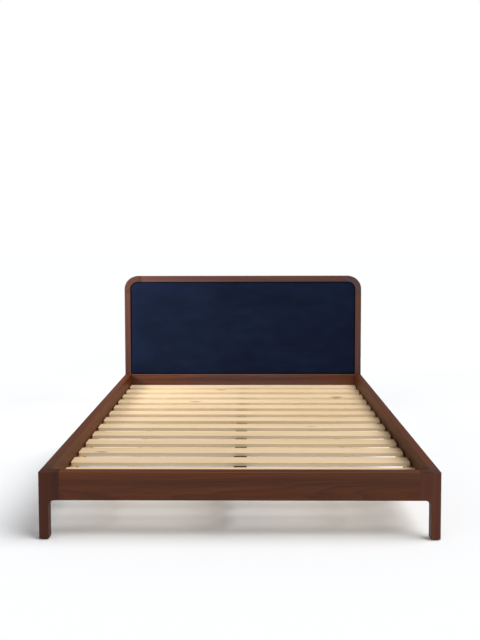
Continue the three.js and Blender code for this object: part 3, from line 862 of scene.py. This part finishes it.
class Growth:
    """A Geometry Nodes tree, written as steps. Its sizes are named inputs of the modifier that runs it."""

    def __init__(self, name, **sizes):
        self.tree = bpy.data.node_groups.new(name, "GeometryNodeTree")
        self.ids = {}
        self.socket("Places", "NodeSocketGeometry")
        for label, value in sizes.items():
            kind = "NodeSocketInt" if isinstance(value, int) else "NodeSocketFloat"
            self.socket(label.replace("_", " "), kind).default_value = value
        self.socket("Finish", "NodeSocketMaterial")
        self.tree.interface.new_socket("Fixings", in_out="OUTPUT", socket_type="NodeSocketGeometry")
        self.given = self.tree.nodes.new("NodeGroupInput").outputs
        self.result = self.tree.nodes.new("NodeGroupOutput").inputs[0]

    def socket(self, label, kind):
        made = self.tree.interface.new_socket(label, in_out="INPUT", socket_type=kind)
        self.ids[label] = made.identifier
        return made

    def add(self, kind, settings=None, **wires):
        node = self.tree.nodes.new(kind)
        for key, value in (settings or {}).items():
            setattr(node, key, value)
        for key, value in wires.items():
            socket = node.inputs[int(key[1:]) if key[0] == "_" else key.replace("_", " ")]
            for source in value if isinstance(value, list) else [value]:
                if isinstance(source, bpy.types.NodeSocket):
                    self.tree.links.new(source, socket)
                elif isinstance(source, bpy.types.Node):
                    self.tree.links.new(source.outputs[0], socket)
                else:
                    socket.default_value = source
        return node

    def stand(self, shape, spin):
        """Puts the shape on every point, its top facing along the point's "way", and finishes the tree."""
        way = self.add("GeometryNodeInputNamedAttribute", {"data_type": "FLOAT_VECTOR"}, Name="way")
        facing = self.add("FunctionNodeAlignRotationToVector", {"axis": "Z"}, Vector=way)
        turned = self.add("FunctionNodeAxisAngleToRotation", Axis=(0, 0, 1), Angle=spin)
        facing = self.add("FunctionNodeRotateRotation", {"rotation_space": "LOCAL"}, Rotation=facing,
                          Rotate_By=turned)
        dots = self.add("GeometryNodeInstanceOnPoints", Points=self.given["Places"], Instance=shape,
                        Rotation=facing)
        real = self.add("GeometryNodeRealizeInstances", Geometry=dots)
        done = self.add("GeometryNodeSetMaterial", Geometry=real, Material=self.given["Finish"])
        self.tree.links.new(done.outputs[0], self.result)


def screw_tree():
    """A low domed head with a cross recess, turned to a different angle at every place."""
    g = Growth("screw head", Head_Radius=0.004, Rim_Radius=0.0042, Head_Height=0.0018, Recess_Width=0.0009,
               Recess_Depth=0.001, Sides=20, Seed=3)
    given = g.given
    head = g.add("GeometryNodeMeshCone", Vertices=given["Sides"], Radius_Top=given["Head Radius"],
                 Radius_Bottom=given["Rim Radius"], Depth=given["Head Height"])
    length = g.add("ShaderNodeMath", {"operation": "MULTIPLY"}, _0=given["Head Radius"], _1=1.15)
    depth = g.add("ShaderNodeMath", {"operation": "MULTIPLY"}, _0=given["Recess Depth"], _1=2.0)
    across = g.add("ShaderNodeCombineXYZ", X=length, Y=given["Recess Width"], Z=depth)
    along = g.add("ShaderNodeCombineXYZ", X=given["Recess Width"], Y=length, Z=depth)
    top = g.add("ShaderNodeCombineXYZ", Z=given["Head Height"])
    blades = []
    for size in (across, along):
        blade = g.add("GeometryNodeMeshCube", Size=size)
        blades.append(g.add("GeometryNodeTransform", Geometry=blade, Translation=top).outputs[0])
    cross_cut = {"operation": "DIFFERENCE", "solver": "EXACT"}
    cut = g.add("GeometryNodeMeshBoolean", cross_cut, Mesh_1=head, Mesh_2=blades)
    spin = g.add("FunctionNodeRandomValue", {"data_type": "FLOAT"}, Seed=given["Seed"])
    spin.inputs[3].default_value = math.tau
    g.stand(cut, spin.outputs[1])
    return g


screws = screw_tree()


def fixings(name, growth, places, slot, finish, **sizes):
    """One mesh of fixings, grown at each (point, way) and then kept as a plain mesh."""
    mesh = bpy.data.meshes.new(f"{name}_places")
    mesh.from_pydata([point for point, way in places], [], [])
    ways = mesh.attributes.new("way", "FLOAT_VECTOR", "POINT")
    ways.data.foreach_set("vector", [part for point, way in places for part in way])
    piece = bpy.data.objects.new(name, mesh)
    SCENE.collection.objects.link(piece)
    grow = piece.modifiers.new("grow", "NODES")
    grow.node_group = growth.tree
    grow[growth.ids["Finish"]] = finish
    for label, value in sizes.items():
        grow[growth.ids[label.replace("_", " ")]] = value
    grown = piece.evaluated_get(bpy.context.evaluated_depsgraph_get())
    piece.data = bpy.data.meshes.new_from_object(grown)
    piece.modifiers.remove(grow)
    bpy.data.meshes.remove(mesh)
    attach(piece, "frame")
    return piece


def spaced(low, high, inset, pitch):
    """Even steps from one end to the other, as near to the pitch as they come."""
    steps = round((high - low - 2 * inset) / pitch)
    return [low + inset + (high - low - 2 * inset) * k / steps for k in range(steps + 1)]


ledger_screws = []
for side, inward in (("left", 1), ("right", -1)):
    low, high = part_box(f"ledger_{side}")
    face = high[0] if inward > 0 else low[0]
    for y in spaced(low[1], high[1], 0.06, 0.24):
        ledger_screws.append(((face, y, (low[2] + high[2]) / 2), (inward, 0, 0)))
fixings("ledger_screws", screws, ledger_screws, "zinc_steel", zinc, Head_Height=0.0004, Recess_Depth=0.0006)

PANEL_SCREW_INSET = 0.0055
PANEL_CORNER = 0.075
low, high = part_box("headboard_back_panel")
panel_screws = []
for x in spaced(low[0], high[0], PANEL_CORNER, 0.2):
    for z in (low[2] + PANEL_SCREW_INSET, high[2] - PANEL_SCREW_INSET):
        panel_screws.append(((x, high[1], z), (0, 1, 0)))
for z in spaced(low[2], high[2], PANEL_CORNER, 0.2):
    for x in (low[0] + PANEL_SCREW_INSET, high[0] - PANEL_SCREW_INSET):
        panel_screws.append(((x, high[1], z), (0, 1, 0)))
fixings("back_panel_screws", screws, panel_screws, "zinc_steel", zinc, Head_Radius=0.0032, Rim_Radius=0.0036,
        Head_Height=0.0005, Recess_Depth=0.0006)

BRACKET_HOLE_X = 0.041
BRACKET_PLATE = 0.003
beam_low, beam_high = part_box("centre_beam")
bracket_screws = []
for end, inward in (("foot", 1), ("head", -1)):
    low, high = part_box(f"beam_bracket_{end}")
    face = (low[1] if inward > 0 else high[1]) + inward * BRACKET_PLATE
    for x in (-BRACKET_HOLE_X, BRACKET_HOLE_X):
        bracket_screws.append(((x, face, (beam_low[2] + beam_high[2]) / 2), (0, inward, 0)))
fixings("bracket_screws", screws, bracket_screws, "zinc_steel", zinc, Rim_Radius=0.0045, Head_Radius=0.0036,
        Head_Height=0.0026, Recess_Depth=0.0014)

LEG_PLATE_THICK = 0.003
LEG_BOLT_OFFSET = 0.0215
leg_bolts = []
for where in ("foot", "middle", "head"):
    low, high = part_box(f"centre_leg_{where}")
    for x in (-LEG_BOLT_OFFSET, LEG_BOLT_OFFSET):
        for y in (-LEG_BOLT_OFFSET, LEG_BOLT_OFFSET):
            middle = (low[1] + high[1]) / 2
            leg_bolts.append(((x, middle + y, high[2] - LEG_PLATE_THICK), (0, 0, -1)))
fixings("leg_plate_screws", screws, leg_bolts, "zinc_steel", zinc, Rim_Radius=0.0044, Head_Radius=0.0034,
        Head_Height=0.0024, Recess_Depth=0.0012)

# ---- Staples ----
# Galvanised wire staples, two to a slat, that hold the tape to the underside of each slat.

STAPLE_SPREAD = 0.022


def staple_tree():
    """A length of wire lying on the tape, with both ends bent down into it."""
    g = Growth("staple", Crown=0.010, Wire_Radius=0.0004, Leg=0.0012)
    given = g.given
    half = g.add("ShaderNodeMath", {"operation": "MULTIPLY"}, _0=given["Crown"], _1=0.5)
    other = g.add("ShaderNodeMath", {"operation": "MULTIPLY"}, _0=half, _1=-1.0)
    deep = g.add("ShaderNodeMath", {"operation": "MULTIPLY"}, _0=given["Leg"], _1=-1.0)
    wire = g.add("GeometryNodeCurvePrimitiveCircle", Resolution=6, Radius=given["Wire Radius"])
    lines = []
    for a, b in ((other, half), (half, half), (other, other)):
        start = g.add("ShaderNodeCombineXYZ", X=a)
        end = g.add("ShaderNodeCombineXYZ", X=b, Z=0.0 if a is not b else deep)
        line = g.add("GeometryNodeCurvePrimitiveLine", Start=start, End=end)
        bar = g.add("GeometryNodeCurveToMesh", Curve=line, Profile_Curve=wire, Fill_Caps=True)
        lines.append(bar.outputs[0])
    whole = g.add("GeometryNodeJoinGeometry", Geometry=lines)
    g.stand(whole, 0.0)
    return g


staples = []
for side in ("left", "right"):
    low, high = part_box(f"slat_strap_{side}")
    for node in slat_names:
        near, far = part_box(node)
        for y in (-STAPLE_SPREAD, STAPLE_SPREAD):
            middle = (near[1] + far[1]) / 2
            staples.append((((low[0] + high[0]) / 2, middle + y, high[2] - STRAP_THICK), (0, 0, -1)))
fixings("strap_staples", staple_tree(), staples, "zinc_steel", zinc)
